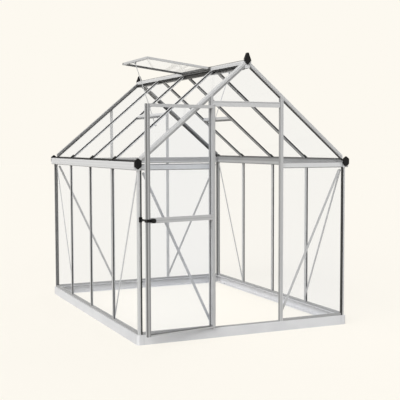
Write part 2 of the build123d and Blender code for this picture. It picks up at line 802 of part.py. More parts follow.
middle_low = handle_height - door_middle_rail / 2
middle_high = handle_height + door_middle_rail / 2
bottom_rail_top = door_bottom + door_bottom_rail
top_rail_low = door_top - door_top_rail
handle_x = leaf_right - handle_from_edge
bottom_rail = door_rail(door_bottom, bottom_rail_top, False, True)
middle_rail = door_rail(middle_low, middle_high, True, True)
middle_rail = middle_rail - through_leaf(handle_x, handle_height, spindle_radius + spindle_clearance,
                                         leaf_outer_y, leaf_inner_y)
top_rail = door_rail(top_rail_low, door_top, True, False)
save("door_stiles", [swung(hinge_stile()), swung(latch_stile())])
save("door_rails", [swung(bottom_rail), swung(middle_rail), swung(top_rail)])

door_hold = door_glass_slot - glass_clearance
door_pane_x = [leaf_left + door_stile - door_hold, leaf_right - door_stile + door_hold]
door_pane_y = [leaf_mid_y - glass / 2, leaf_mid_y + glass / 2]
lower_pane = block(*door_pane_x, *door_pane_y, bottom_rail_top - door_hold, middle_low + door_hold)
upper_pane = block(*door_pane_x, *door_pane_y, middle_high - door_hold, top_rail_low + door_hold)
save("door_panes", [swung(lower_pane), swung(upper_pane)])


# Handles on both faces, joined by a spindle, on a keeper plate that wraps the free edge
def handle_knob(y_low, y_high):
    """Drop-shaped knob whose thin end points to the free edge."""
    plane = Plane(origin=(0, y_high, 0), x_dir=(1, 0, 0), z_dir=(0, -1, 0))
    round_end = Pos(handle_x, handle_height) * Circle(handle_radius)
    thin_end = Pos(handle_x + handle_tail, handle_height + handle_tail_rise) * Circle(handle_tail_radius)
    knob = extrude(plane * make_hull(round_end.edges() + thin_end.edges()), y_high - y_low)
    return knob


def door_handle():
    low_z = handle_height - keeper_height / 2
    high_z = handle_height + keeper_height / 2
    inner = block(handle_x, leaf_right, leaf_inner_y, leaf_inner_y + keeper_sheet, low_z, high_z)
    edge = block(leaf_right, leaf_right + keeper_sheet, leaf_outer_y - keeper_sheet,
                 leaf_inner_y + keeper_sheet, low_z, high_z)
    outer = block(handle_x, leaf_right, leaf_outer_y - keeper_sheet, leaf_outer_y, low_z, high_z)
    spindle = through_leaf(handle_x, handle_height, spindle_radius, leaf_outer_y, leaf_inner_y)
    inner_knob = handle_knob(leaf_inner_y, leaf_inner_y + handle_depth)
    outer_knob = handle_knob(leaf_outer_y - handle_depth, leaf_outer_y)
    return inner + edge + outer + spindle + inner_knob + outer_knob


save("door_handle", [swung(door_handle())])


# Brackets on the left door post that carry the pivot pins above and below the leaf
def hinge_bracket(z_low, pin_low, pin_high):
    plate = strip(hinge_x - bracket_width / 2, hinge_x + bracket_width / 2,
                  leaf_mid_y - bracket_width / 2, -wall_y)
    plate = fillet(plate.vertices().group_by(Axis.Y)[0], bracket_width * 0.45)
    bracket = upright(plate, z_low, z_low + bracket_thickness)
    return bracket + upright(Pos(hinge_x, leaf_mid_y) * Circle(pin_radius), pin_low, pin_high)


low_bracket_z = door_bottom - bracket_gap - bracket_thickness
high_bracket_z = door_top + bracket_gap
pin_reach = pin_length - bracket_gap
low_bracket = hinge_bracket(low_bracket_z, low_bracket_z, door_bottom + pin_reach)
high_bracket = hinge_bracket(high_bracket_z, door_top - pin_reach, high_bracket_z + bracket_thickness)
save("hinge_brackets", [low_bracket, high_bracket])


# Catch on the front left corner post, whose arm stops the open leaf
def door_catch():
    keeper_x = leaf_right - catch_cup_radius - hinge_x
    keeper_y = leaf_outer_y - keeper_sheet - leaf_mid_y
    angle = math.radians(door_open_angle)
    meet_x = hinge_x + keeper_x * math.cos(angle) + keeper_y * math.sin(angle)
    meet_y = leaf_mid_y - keeper_x * math.sin(angle) + keeper_y * math.cos(angle)
    end_y = meet_y + catch_gap + catch_cup_radius * math.sin(math.pi - angle)
    face_x = -(post_in_x + wall_x - post_chamfer) / 2
    foot = block(face_x - catch_foot_width / 2, face_x + catch_foot_width / 2,
                 -wall_y - catch_foot_thickness, -wall_y,
                 handle_height - catch_foot_height / 2, handle_height + catch_foot_height / 2)
    foot = fillet(foot.edges().filter_by(Axis.Y), catch_foot_width / 4)
    arm = through_leaf(meet_x, handle_height, catch_arm_radius, end_y, -wall_y)
    cup = through_leaf(meet_x, handle_height, catch_cup_radius, end_y, end_y + catch_cup_length)
    return foot + arm + cup


save("door_catch", [door_catch()])
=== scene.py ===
"""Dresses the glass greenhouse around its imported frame: finishes, fasteners, seals, light and camera."""

import logging
import math
from dataclasses import dataclass, field
from enum import Enum
from typing import Iterable, Sequence

import bpy
from mathutils import Matrix, Vector

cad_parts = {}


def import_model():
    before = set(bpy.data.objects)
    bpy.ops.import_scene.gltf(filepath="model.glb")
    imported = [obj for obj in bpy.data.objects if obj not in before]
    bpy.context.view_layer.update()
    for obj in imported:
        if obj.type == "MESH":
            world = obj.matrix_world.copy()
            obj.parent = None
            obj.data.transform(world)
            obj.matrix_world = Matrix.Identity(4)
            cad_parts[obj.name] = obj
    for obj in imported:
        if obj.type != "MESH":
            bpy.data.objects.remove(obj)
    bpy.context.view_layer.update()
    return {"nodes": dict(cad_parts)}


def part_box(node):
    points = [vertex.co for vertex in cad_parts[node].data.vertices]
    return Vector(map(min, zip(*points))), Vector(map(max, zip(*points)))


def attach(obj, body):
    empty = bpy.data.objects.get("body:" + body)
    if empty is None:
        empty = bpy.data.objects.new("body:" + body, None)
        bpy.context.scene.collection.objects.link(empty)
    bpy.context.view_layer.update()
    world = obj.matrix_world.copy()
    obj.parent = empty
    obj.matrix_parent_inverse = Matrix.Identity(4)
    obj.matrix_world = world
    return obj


LOG = logging.getLogger("greenhouse")
Colour = tuple[float, float, float]
Point = tuple[float, float, float]
Path = tuple[Point, Point]

# A low and a high value
Band = tuple[float, float]

# Width of a glazed bay, and the lines of the bars between the four bays along the greenhouse
BAY = 0.617
BAR_LINES = (-BAY, 0.0, BAY)

# Signs of the greenhouse's two sides or its two ends
FLANKS = (-1, 1)

# Slope of the roof and the height at which its two roof lines meet
ROOF_PITCH = math.radians(40.25)
ROOF_APEX = 2.1503

# Length by which the roof's long seals stop short of the panes' ends
SEAL_INSET = 0.012

# Foot of the door's hinge line, and how far the door stands open at rest
DOOR_HINGE: Point = (-0.3005, -1.242, 0.0)
DOOR_OPENING = math.radians(170.1)

# Scale of the die lines along the run of a profile, as a share of their scale across it
DRAWN = 0.012


class Run(Enum):
    """Direction in which an extruded profile was drawn, as a scale for its die lines."""

    UPRIGHT = (1.0, 1.0, DRAWN)
    ALONG = (1.0, DRAWN, 1.0)
    ACROSS = (DRAWN, 1.0, 1.0)
    SLOPE = (DRAWN, 1.0, DRAWN)


class NodeGraph:
    """Thin builder over one node tree."""

    def __init__(self, tree: bpy.types.NodeTree) -> None:
        """Empties the tree.

        Args:
            tree: node tree to fill.
        """
        self.tree = tree
        tree.nodes.clear()

    def add(self, kind: str, inputs: dict[str | int, object] | None = None,
            **settings: object) -> bpy.types.Node:
        """Adds a node.

        Args:
            kind: node type name, such as ShaderNodeBump.
            inputs: sockets to link or values to set, by input.
            settings: attributes to set on the node.

        Returns:
            The new node.
        """
        node = self.tree.nodes.new(kind)
        for name, value in settings.items():
            setattr(node, name, value)
        for key, value in (inputs or {}).items():
            if isinstance(value, bpy.types.NodeSocket):
                self.link(value, node.inputs[key])
            else:
                node.inputs[key].default_value = value
        return node

    def link(self, source: bpy.types.NodeSocket, target: bpy.types.NodeSocket) -> None:
        """Joins two sockets."""
        self.tree.links.new(source, target)

    def math(self, operation: str, *values: object) -> bpy.types.NodeSocket:
        """Result of a Math node on some sockets or numbers."""
        return self.add("ShaderNodeMath", dict(enumerate(values)), operation=operation).outputs[0]

    def place(self) -> bpy.types.NodeSocket:
        """Object coordinates."""
        return self.add("ShaderNodeTexCoord").outputs["Object"]

    def noise(self, vector: bpy.types.NodeSocket, scale: float, detail: float) -> bpy.types.NodeSocket:
        """Adds a noise texture.

        Args:
            vector: where it is read.
            scale: its scale, in cells per metre.
            detail: its octaves.

        Returns:
            Its grey value.
        """
        inputs = {"Scale": scale, "Detail": detail, "Vector": vector}
        return self.add("ShaderNodeTexNoise", inputs).outputs["Fac"]

    def span(self, value: bpy.types.NodeSocket, low: float, high: float) -> bpy.types.NodeSocket:
        """Stretches a grey value.

        Args:
            value: grey value from zero to one.
            low: result where it is zero.
            high: result where it is one.

        Returns:
            The stretched value.
        """
        inputs = {"To Min": low, "To Max": high, "Value": value}
        return self.add("ShaderNodeMapRange", inputs).outputs["Result"]

    def ramp(self, value: bpy.types.NodeSocket, places: Band,
             colours: Sequence[Colour]) -> bpy.types.NodeSocket:
        """Turns a grey value into a colour between two.

        Args:
            value: grey value.
            places: grey values of the two colours.
            colours: the two colours.

        Returns:
            The colour.
        """
        node = self.add("ShaderNodeValToRGB", {"Fac": value})
        for end, place, colour in zip(node.color_ramp.elements, places, colours):
            end.position = place
            end.color = (*colour, 1.0)
        return node.outputs["Color"]

    def bump(self, height: bpy.types.NodeSocket, strength: float, depth: float) -> bpy.types.NodeSocket:
        """Turns a height into a normal.

        Args:
            height: grey height.
            strength: share of the full effect.
            depth: metres from lowest to highest.

        Returns:
            The normal.
        """
        inputs = {"Strength": strength, "Distance": depth, "Height": height}
        return self.add("ShaderNodeBump", inputs).outputs["Normal"]

    def surface(self, inputs: dict[str, object]) -> bpy.types.NodeSocket:
        """Principled shader with some of its inputs linked or set."""
        return self.add("ShaderNodeBsdfPrincipled", inputs).outputs["BSDF"]

    def diffuse(self, colour: Colour) -> bpy.types.NodeSocket:
        """Matte shader of one colour."""
        return self.add("ShaderNodeBsdfDiffuse", {"Color": (*colour, 1.0)}).outputs["BSDF"]

    def mix(self, share: object, first: bpy.types.NodeSocket,
            second: bpy.types.NodeSocket) -> bpy.types.NodeSocket:
        """Mixes two shaders.

        Args:
            share: share of the second, as a socket or a number.
            first: shader where the share is zero.
            second: shader where the share is one.

        Returns:
            The mixed shader.
        """
        return self.add("ShaderNodeMixShader", {"Fac": share, 1: first, 2: second}).outputs["Shader"]

    def end(self, kind: str, shader: bpy.types.NodeSocket) -> None:
        """Ends the tree in its output node."""
        self.add(kind, {"Surface": shader})


def new_material(name: str) -> tuple[bpy.types.Material, NodeGraph]:
    """Makes an empty node material.

    Args:
        name: material name.

    Returns:
        The material and its graph.
    """
    material = bpy.data.materials.new(name)
    material.use_nodes = True
    return material, NodeGraph(material.node_tree)


@dataclass(frozen=True)
class Zone:
    """Places whose distance along a direction lies between two values."""

    direction: Point
    low: float
    high: float
    mirrored: bool = True

    def mask(self, graph: NodeGraph, place: bpy.types.NodeSocket) -> bpy.types.NodeSocket:
        """One inside the zone, else zero.

        Args:
            graph: graph to add to.
            place: object coordinates.

        Returns:
            The mask.
        """
        if self.mirrored:
            place = graph.add("ShaderNodeVectorMath", {0: place}, operation="ABSOLUTE").outputs["Vector"]
        inputs = {0: place, 1: self.direction}
        along = graph.add("ShaderNodeVectorMath", inputs, operation="DOT_PRODUCT").outputs["Value"]
        return graph.math("COMPARE", along, (self.low + self.high) / 2, (self.high - self.low) / 2)


X_WAY: Point = (1.0, 0.0, 0.0)
Y_WAY: Point = (0.0, 1.0, 0.0)
Z_WAY: Point = (0.0, 0.0, 1.0)
SQUARE_TO_ROOF: Point = (math.sin(ROOF_PITCH), 0.0, math.cos(ROOF_PITCH))
ALONG_LEAF: Point = (math.cos(DOOR_OPENING), -math.sin(DOOR_OPENING), 0.0)
THROUGH_LEAF: Point = (math.sin(DOOR_OPENING), math.cos(DOOR_OPENING), 0.0)
FAR = 3.0


def within(direction: Point, reach: float) -> Zone:
    """Zone on both sides of the middle, out to a distance."""
    return Zone(direction, 0.0, reach)


def beyond(direction: Point, start: float) -> Zone:
    """Zone on both sides of the middle, from a distance outwards."""
    return Zone(direction, start, FAR)


def one_sided(direction: Point, low: float, high: float) -> Zone:
    """Zone that isn't repeated on the other side of the middle."""
    return Zone(direction, low, high, mirrored=False)


def off_roof(low: float, high: float) -> Zone:
    """Zone between two distances from the roof line, square to the slope and outwards."""
    start = ROOF_APEX * math.cos(ROOF_PITCH)
    return Zone(SQUARE_TO_ROOF, start + low, start + high)


def on_leaf(direction: Point, low: float, high: float) -> Zone:
    """Zone of the open door between two distances from its hinge."""
    start = Vector(direction).dot(Vector(DOOR_HINGE))
    return one_sided(direction, start + low, start + high)


RIGHT_HALF = one_sided(X_WAY, 0.0, FAR)
LEFT_HALF = one_sided(X_WAY, -FAR, 0.0)


@dataclass(frozen=True)
class Stripe:
    """A groove, lip or seam where all its zones meet, painted darker or paler: painted shade in grooves,
    recesses and undersides, painted highlights on lips, and darker seams at joints.
    """

    shade: float
    zones: tuple[Zone, ...]

    def paint(self, graph: NodeGraph, place: bpy.types.NodeSocket,
              colour: bpy.types.NodeSocket) -> bpy.types.NodeSocket:
        """Scales a colour by the shade inside the stripe.

        Args:
            graph: graph to add to.
            place: object coordinates.
            colour: colour without the stripe.

        Returns:
            The colour with it.
        """
        mask = self.zones[0].mask(graph, place)
        for zone in self.zones[1:]:
            mask = graph.math("MULTIPLY", mask, zone.mask(graph, place))
        scale = graph.math("MULTIPLY_ADD", mask, self.shade - 1.0, 1.0)
        dim = graph.add("ShaderNodeVectorMath", {0: colour, "Scale": scale}, operation="SCALE")
        return dim.outputs["Vector"]


@dataclass(frozen=True)
class MillAluminium:
    """Mill-finish aluminium extrusion with faint die lines along its run, and painted shade in its grooves.
    """

    colour: Colour = (0.56, 0.563, 0.568)
    shade: float = 0.92
    shade_places: Band = (0.30, 0.66)
    metallic: float = 0.16
    roughness: Band = (0.33, 0.49)
    line_scale: float = 420.0
    line_detail: float = 3.0
    line_share: float = 0.55
    line_bump: float = 0.06
    line_depth: float = 0.0004
    cloud_scale: float = 2.3
    cloud_detail: float = 4.0
    cloud_share: float = 0.45

    def build(self, name: str, run: Run, tone_and_painted_light: float, stripes: tuple[Stripe, ...]) -> bpy.types.Material:
        """Makes the material for one profile.

        Args:
            name: what the profile is.
            run: direction of the die lines.
            tone_and_painted_light: share of the full brightness, the metal's own lightness and, for most
                profiles, painted light and shade matched to how lit they show.
            stripes: painted shade in grooves, recesses and undersides, and painted highlights on lips.

        Returns:
            The material.
        """
        material, graph = new_material(f"mill_aluminium_{name}")
        place = graph.place()
        mapping = graph.add("ShaderNodeMapping", {"Scale": run.value, "Vector": place})
        lines = graph.noise(mapping.outputs["Vector"], self.line_scale, self.line_detail)
        clouds = graph.noise(place, self.cloud_scale, self.cloud_detail)
        cloudy = graph.math("MULTIPLY", clouds, self.cloud_share)
        blend = graph.math("MULTIPLY_ADD", lines, self.line_share, cloudy)
        dark = tuple(value * tone_and_painted_light * self.shade for value in self.colour)
        pale = tuple(value * tone_and_painted_light for value in self.colour)
        colour = graph.ramp(blend, self.shade_places, (dark, pale))
        for stripe in stripes:
            colour = stripe.paint(graph, place, colour)
        graph.end("ShaderNodeOutputMaterial", graph.surface({
            "Metallic": self.metallic,
            "Base Color": colour,
            "Roughness": graph.span(blend, *self.roughness),
            "Normal": graph.bump(lines, self.line_bump, self.line_depth),
        }))
        return material


@dataclass(frozen=True)
class CoatedSteel:
    """Pale grey powder coat with a fine orange-peel texture and the seams of the corner pieces."""

    colours: tuple[Colour, Colour] = ((0.69, 0.69, 0.70), (0.74, 0.74, 0.745))
    colour_places: Band = (0.34, 0.62)
    roughness: Band = (0.42, 0.56)
    peel_scale: float = 900.0
    peel_detail: float = 2.0
    peel_bump: float = 0.12
    peel_depth: float = 0.0003
    haze_scale: float = 5.0
    haze_detail: float = 5.0

    def build(self, seams: tuple[Stripe, ...]) -> bpy.types.Material:
        """Makes the material.

        Args:
            seams: lines that show darker.

        Returns:
            The material.
        """
        material, graph = new_material("coated_steel")
        place = graph.place()
        peel = graph.noise(place, self.peel_scale, self.peel_detail)
        haze = graph.noise(place, self.haze_scale, self.haze_detail)
        colour = graph.ramp(haze, self.colour_places, self.colours)
        for seam in seams:
            colour = seam.paint(graph, place, colour)
        graph.end("ShaderNodeOutputMaterial", graph.surface({
            "Base Color": colour,
            "Roughness": graph.span(haze, *self.roughness),
            "Normal": graph.bump(peel, self.peel_bump, self.peel_depth),
        }))
        return material


@dataclass(frozen=True)
class ClearGlass:
    """Clear horticultural glass that lets lamp light through."""

    tint: Colour = (0.966, 0.975, 0.993)
    roughness: float = 0.0
    ior: float = 1.03
    wave_scale: float = 3.0
    wave_detail: float = 2.0
    wave_bump: float = 0.01
    wave_depth: float = 0.0005

    def build(self) -> bpy.types.Material:
        """Makes the material.

        Returns:
            The material.
        """
        material, graph = new_material("clear_glass")
        waves = graph.noise(graph.place(), self.wave_scale, self.wave_detail)
        glass = graph.surface({
            "Base Color": (*self.tint, 1.0),
            "Roughness": self.roughness,
            "IOR": self.ior,
            "Transmission Weight": 1.0,
            "Normal": graph.bump(waves, self.wave_bump, self.wave_depth),
        })
        shadow = graph.add("ShaderNodeLightPath").outputs["Is Shadow Ray"]
        through = graph.add("ShaderNodeBsdfTransparent", {"Color": (*self.tint, 1.0)}).outputs["BSDF"]
        graph.end("ShaderNodeOutputMaterial", graph.mix(shadow, glass, through))
        return material


@dataclass(frozen=True)
class BlackPlastic:
    """Moulded black plastic or rubber with a fine spark texture."""

    name: str
    colour: Colour
    roughness: Band
    gloss: float = 0.2
    grain_scale: float = 1400.0
    grain_detail: float = 2.0
    grain_bump: float = 0.2
    grain_depth: float = 0.0002

    def build(self) -> bpy.types.Material:
        """Makes the material.

        Returns:
            The material.
        """
        material, graph = new_material(self.name)
        grain = graph.noise(graph.place(), self.grain_scale, self.grain_detail)
        graph.end("ShaderNodeOutputMaterial", graph.surface({
            "Base Color": (*self.colour, 1.0),
            "Specular IOR Level": self.gloss,
            "Roughness": graph.span(grain, *self.roughness),
            "Normal": graph.bump(grain, self.grain_bump, self.grain_depth),
        }))
        return material


def dress(nodes: dict[str, bpy.types.Object], names: Iterable[str], material: bpy.types.Material) -> None:
    """Gives CAD nodes a material.

    Args:
        nodes: all frame nodes by name.
        names: nodes to dress.
        material: finish they take.
    """
    for name in names:
        slots = nodes[name].data.materials
        slots.clear()
        slots.append(material)
        LOG.info("dressed %s in %s", name, material.name)


def point_mesh(name: str, points: Sequence[Point], facings: Sequence[Point]) -> bpy.types.Object:
    """Makes loose points that each know which way their fastener faces.

    Args:
        name: object name.
        points: where the fasteners sit.
        facings: outward direction of each.

    Returns:
        The object.
    """
    mesh = bpy.data.meshes.new(name)
    mesh.from_pydata(points, [], [])
    facing = mesh.attributes.new("facing", "FLOAT_VECTOR", "POINT")
    for index, way in enumerate(facings):
        facing.data[index].vector = way
    return bpy.data.objects.new(name, mesh)


def path_mesh(name: str, paths: Sequence[Path]) -> bpy.types.Object:
    """Makes one loose edge for each straight path.

    Args:
        name: object name.
        paths: start and end of each.

    Returns:
        The object.
    """
    points = [point for path in paths for point in path]
    edges = [(2 * index, 2 * index + 1) for index in range(len(paths))]
    mesh = bpy.data.meshes.new(name)
    mesh.from_pydata(points, edges, [])
    return bpy.data.objects.new(name, mesh)


class GrowingTree:
    """A Geometry Nodes tree that turns points or paths into one plain mesh."""

    def __init__(self, name: str, sizes: dict[str, float]) -> None:
        """Makes the tree with its inputs.

        Args:
            name: tree name.
            sizes: named size inputs and their values in metres.
        """
        self.sizes = sizes
        self.tree = bpy.data.node_groups.new(name, "GeometryNodeTree")
        self.graph = NodeGraph(self.tree)
        face = self.tree.interface
        face.new_socket("Geometry", in_out="INPUT", socket_type="NodeSocketGeometry")
        for size in sizes:
            face.new_socket(size, in_out="INPUT", socket_type="NodeSocketFloat")
        face.new_socket("Finish", in_out="INPUT", socket_type="NodeSocketMaterial")
        face.new_socket("Geometry", in_out="OUTPUT", socket_type="NodeSocketGeometry")
        self.given = self.graph.add("NodeGroupInput").outputs

    def close(self, shape: bpy.types.NodeSocket) -> None:
        """Ends the tree in real geometry with its finish.

        Args:
            shape: what the tree made.
        """
        real = self.graph.add("GeometryNodeRealizeInstances", {0: shape}).outputs[0]
        inputs = {"Geometry": real, "Material": self.given["Finish"]}
        finish = self.graph.add("GeometryNodeSetMaterial", inputs)
        self.graph.add("NodeGroupOutput", {"Geometry": finish.outputs[0]})

    def grow(self, seed: bpy.types.Object, finish: bpy.types.Material, body: str, slot: str) -> None:
        """Runs the tree on an object and keeps the result as a plain mesh.

        Args:
            seed: object with the points or paths.
            finish: material of the result.
            body: body that the result rides on.
            slot: name of a material slot; not used.
        """
        bpy.context.scene.collection.objects.link(seed)
        modifier = seed.modifiers.new("grow", "NODES")
        modifier.node_group = self.tree
        values = {**self.sizes, "Finish": finish}
        for item in self.tree.interface.items_tree:
            if item.in_out == "INPUT" and item.name in values:
                modifier[item.identifier] = values[item.name]
        depsgraph = bpy.context.evaluated_depsgraph_get()
        mesh = bpy.data.meshes.new_from_object(seed.evaluated_get(depsgraph), depsgraph=depsgraph)
        seed.modifiers.clear()
        seed.data = mesh
        mesh.name = seed.name
        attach(seed, body)
        LOG.info("made %s with %d faces", seed.name, len(mesh.polygons))


def bolt_tree(radius: float, height: float) -> GrowingTree:
    """Makes the tree that sets a domed bolt head on a washer at each point.

    Args:
        radius: radius of the head.
        height: height of the head over its washer.

    Returns:
        The tree.
    """
    sides = 12
    crown_share = 0.62
    washer_share = 1.45
    washer_height = 0.0008
    growing = GrowingTree("bolt_heads", {"Radius": radius, "Height": height})
    graph = growing.graph
    given = growing.given
    head = graph.add("GeometryNodeMeshCone", {
        "Vertices": sides,
        "Depth": given["Height"],
        "Radius Bottom": given["Radius"],
        "Radius Top": graph.math("MULTIPLY", given["Radius"], crown_share),
    }, fill_type="NGON")
    washer = graph.add("GeometryNodeMeshCylinder", {
        "Vertices": sides,
        "Depth": washer_height,
        "Radius": graph.math("MULTIPLY", given["Radius"], washer_share),
    }, fill_type="NGON")
    both = graph.add("GeometryNodeJoinGeometry")
    graph.link(head.outputs["Mesh"], both.inputs[0])
    graph.link(washer.outputs["Mesh"], both.inputs[0])
    way = graph.add("GeometryNodeInputNamedAttribute", {"Name": "facing"}, data_type="FLOAT_VECTOR")
    turn = graph.add("FunctionNodeAlignEulerToVector", {"Vector": way.outputs["Attribute"]}, axis="Z")
    growing.close(graph.add("GeometryNodeInstanceOnPoints", {
        "Points": given["Geometry"],
        "Instance": both.outputs[0],
        "Rotation": turn.outputs["Rotation"],
    }).outputs[0])
    return growing


def seal_tree(width: float, height: float) -> GrowingTree:
    """Makes the tree that runs a flat strip along each path.

    Args:
        width: size across the path, level.
        height: size across the path, the other way.

    Returns:
        The tree.
    """
    growing = GrowingTree("strips", {"Width": width, "Height": height})
    graph = growing.graph
    given = growing.given
    curve = graph.add("GeometryNodeMeshToCurve", {"Mesh": given["Geometry"]})
    level = graph.add("GeometryNodeSetCurveNormal", {"Curve": curve.outputs["Curve"]}, mode="Z_UP")
    sizes = {"Width": given["Width"], "Height": given["Height"]}
    section = graph.add("GeometryNodeCurvePrimitiveQuadrilateral", sizes)
    growing.close(graph.add("GeometryNodeCurveToMesh", {
        "Fill Caps": True,
        "Curve": level.outputs["Curve"],
        "Profile Curve": section.outputs["Curve"],
    }).outputs["Mesh"])
    return growing


@dataclass
class Finishes:
    """The plain finishes of the greenhouse, built once."""

    glass: bpy.types.Material = field(init=False)
    black: bpy.types.Material = field(init=False)
    rubber: bpy.types.Material = field(init=False)
    zinc: bpy.types.Material = field(init=False)

    def __post_init__(self) -> None:
        """Builds the materials."""
        plastic = BlackPlastic("black_plastic", colour=(0.006, 0.006, 0.0065), roughness=(0.36, 0.52))
        rubber = BlackPlastic("black_rubber", colour=(0.035, 0.035, 0.036), roughness=(0.56, 0.72))
        self.glass = ClearGlass().build()
        self.black = plastic.build()
        self.rubber = rubber.build()
        self.zinc = MillAluminium(metallic=0.4).build("bolts", Run.UPRIGHT, tone_and_painted_light=0.8, stripes=())


@dataclass
class SubAssembly:
    """What every sub-assembly shares: the frame's nodes and the finishes."""

    nodes: dict[str, bpy.types.Object]
    finishes: Finishes
    bolt_height_share: float = 0.7

    def profile(self, names: str, run: Run, tone_and_painted_light: float, *stripes: Stripe) -> None:
        """Gives some nodes one aluminium of their own, with painted light and shade in its brightness and
        stripes.

        Args:
            names: node names with spaces between them.
            run: direction of the die lines.
            tone_and_painted_light: share of the full brightness, the metal's own lightness and painted
                light and shade matched to how lit each profile shows.
            stripes: painted shade in grooves, recesses and undersides, and painted highlights on lips.
        """
        nodes = names.split()
        dress(self.nodes, nodes, MillAluminium().build(nodes[0], run, tone_and_painted_light, stripes))

    def bolts(self, name: str, points: Sequence[Point], ways: Sequence[Point], radius: float) -> None:
        """Sets bolt heads.

        Args:
            name: piece name.
            points: where they sit.
            ways: outward direction of each.
            radius: radius of a head.
        """
        tree = bolt_tree(radius, radius * self.bolt_height_share)
        tree.grow(point_mesh(name, points, ways), self.finishes.zinc, "frame", "aluminium_frame")

    def strips(self, name: str, paths: Sequence[Path], width: float, height: float) -> None:
        """Runs rubber strips.

        Args:
            name: piece name.
            paths: start and end of each.
            width: level size across.
            height: size the other way.
        """
        tree = seal_tree(width, height)
        tree.grow(path_mesh(name, paths), self.finishes.rubber, "frame", "black_plastic")


@dataclass
class Base(SubAssembly):
    """Folded steel base rail with its corner pieces, sills and threshold."""

    seam_half: float = 0.0009
    seam_shade: float = 0.62
    sill_tone: float = 0.62
    sheet: float = 0.002
    anchor_edge: float = 0.022
    anchor_end: float = 0.120
    bolt_radius: float = 0.0075

    def build(self) -> None:
        """Dresses the base and bolts its corners to the ground."""
        outer_y = -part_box("base_front")[0].y
        outer_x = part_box("base_right")[1].x
        corner_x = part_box("base_front")[1].x
        corner_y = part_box("base_left")[1].y
        steel = CoatedSteel().build((
            Stripe(self.seam_shade, (self.seam(X_WAY, corner_x), beyond(Y_WAY, corner_y))),
            Stripe(self.seam_shade, (self.seam(Y_WAY, corner_y), beyond(X_WAY, corner_x))),
        ))
        dress(self.nodes, ("base_front", "base_rear", "base_left", "base_right", "base_corners"), steel)
        self.profile("sill_front sill_rear threshold", Run.ACROSS, self.sill_tone)
        self.profile("sill_left sill_right", Run.ALONG, self.sill_tone)
        points = []
        for flank in FLANKS:
            for end in FLANKS:
                points.append((flank * (corner_x - self.anchor_end), end * (outer_y - self.anchor_edge),
                               self.sheet))
                points.append((flank * (outer_x - self.anchor_edge), end * (corner_y - self.anchor_end),
                               self.sheet))
        self.bolts("anchor_bolts", points, [Z_WAY] * len(points), self.bolt_radius)

    def seam(self, direction: Point, joint: float) -> Zone:
        """Zone of the thin line where a corner piece meets a rail."""
        return Zone(direction, joint - self.seam_half, joint + self.seam_half)


@dataclass
class Walls(SubAssembly):
    """Posts, studs, ties, braces and wall glass with its seals."""

    # Painted shade in the corner posts' recessed grooves, darkest on the front posts, and on the front
    # ties' lip and foot; a painted highlight along the rear tie's flange.
    front_groove_shade: Stripe = Stripe(0.07, (Zone(X_WAY, 0.8795, 0.8950), beyond(Y_WAY, 1.205)))
    rear_groove_shade: Stripe = Stripe(0.35, front_groove_shade.zones)
    side_groove_shade: Stripe = Stripe(0.42, (Zone(Y_WAY, 1.1880, 1.2035), beyond(X_WAY, 0.899)))
    tie_lip_shade: Stripe = Stripe(0.5, (beyond(Z_WAY, 1.350),))
    tie_foot_shade: Stripe = Stripe(0.5, (within(Z_WAY, 1.317),))
    tie_flange_highlight: Stripe = Stripe(1.45, (Zone(Z_WAY, 1.320, 1.328),))
    # Brightness of each profile, matched to how lit or shaded it shows: painted light and shade, with the
    # rear posts, rear tie and braces darker.
    front_post_tone: float = 1.0
    rear_post_painted_shade: float = 0.75
    stud_tone: float = 0.92
    brace_tone: float = 0.8
    front_tie_tone: float = 1.05
    rear_tie_painted_shade: float = 0.68
    stud_half: float = 0.012
    seal: float = 0.0025
    seal_depth: float = 0.007
    seal_gap: float = 0.0003
    bolt_inset: float = 0.012
    bolt_radius: float = 0.004

    def build(self) -> None:
        """Dresses the wall frame, then seals its glass and bolts it."""
        self.profile("corner_posts_front", Run.UPRIGHT, self.front_post_tone, self.front_groove_shade,
                     self.side_groove_shade)
        self.profile("corner_posts_rear", Run.UPRIGHT, self.rear_post_painted_shade, self.rear_groove_shade,
                     self.side_groove_shade)
        self.profile("studs_left studs_right studs_rear", Run.UPRIGHT, self.stud_tone)
        self.profile("braces_sides braces_gables", Run.UPRIGHT, self.brace_tone)
        self.profile("ties_front", Run.ACROSS, self.front_tie_tone, self.tie_lip_shade, self.tie_foot_shade)
        self.profile("tie_rear", Run.ACROSS, self.rear_tie_painted_shade, self.tie_flange_highlight)
        dress(self.nodes, ("panes_left", "panes_right", "panes_front", "panes_rear"), self.finishes.glass)
        self.seal_glass()
        self.fasten()

    def seal_glass(self) -> None:
        """Runs a seal up each side of the studs, along the glass."""
        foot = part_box("sill_left")[1].z
        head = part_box("corner_posts_front")[1].z
        x = -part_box("studs_left")[0].x - self.seal_depth / 2 - self.seal_gap
        paths = []
        for line in BAR_LINES:
            for way in FLANKS:
                y = line + way * (self.stud_half + self.seal / 2)
                paths += [((flank * x, y, foot), (flank * x, y, head)) for flank in FLANKS]
        self.strips("side_glass_seals", paths, self.seal_depth, self.seal)

    def fasten(self) -> None:
        """Bolts the studs and ties from the inside."""
        points = []
        ways = []
        low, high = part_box("studs_right")
        for line in BAR_LINES:
            for flank in FLANKS:
                for z in (low.z + self.bolt_inset, high.z - self.bolt_inset):
                    points.append((flank * low.x, line, z))
                    ways.append((-flank, 0.0, 0.0))
        for node, end in (("ties_front", -1), ("tie_rear", 1)):
            low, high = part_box(node)
            inner_y = high.y if end < 0 else low.y
            for flank in FLANKS:
                for z in (low.z + self.bolt_inset, high.z - self.bolt_inset):
                    points.append((flank * (high.x - self.bolt_inset), inner_y, z))
                    ways.append((0.0, -end, 0.0))
        self.bolts("frame_bolts", points, ways, self.bolt_radius)


def seal_reach() -> float:
    """Distance from the middle at which the long seals of the roof end."""
    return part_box("roof_panes_left")[1].y - SEAL_INSET


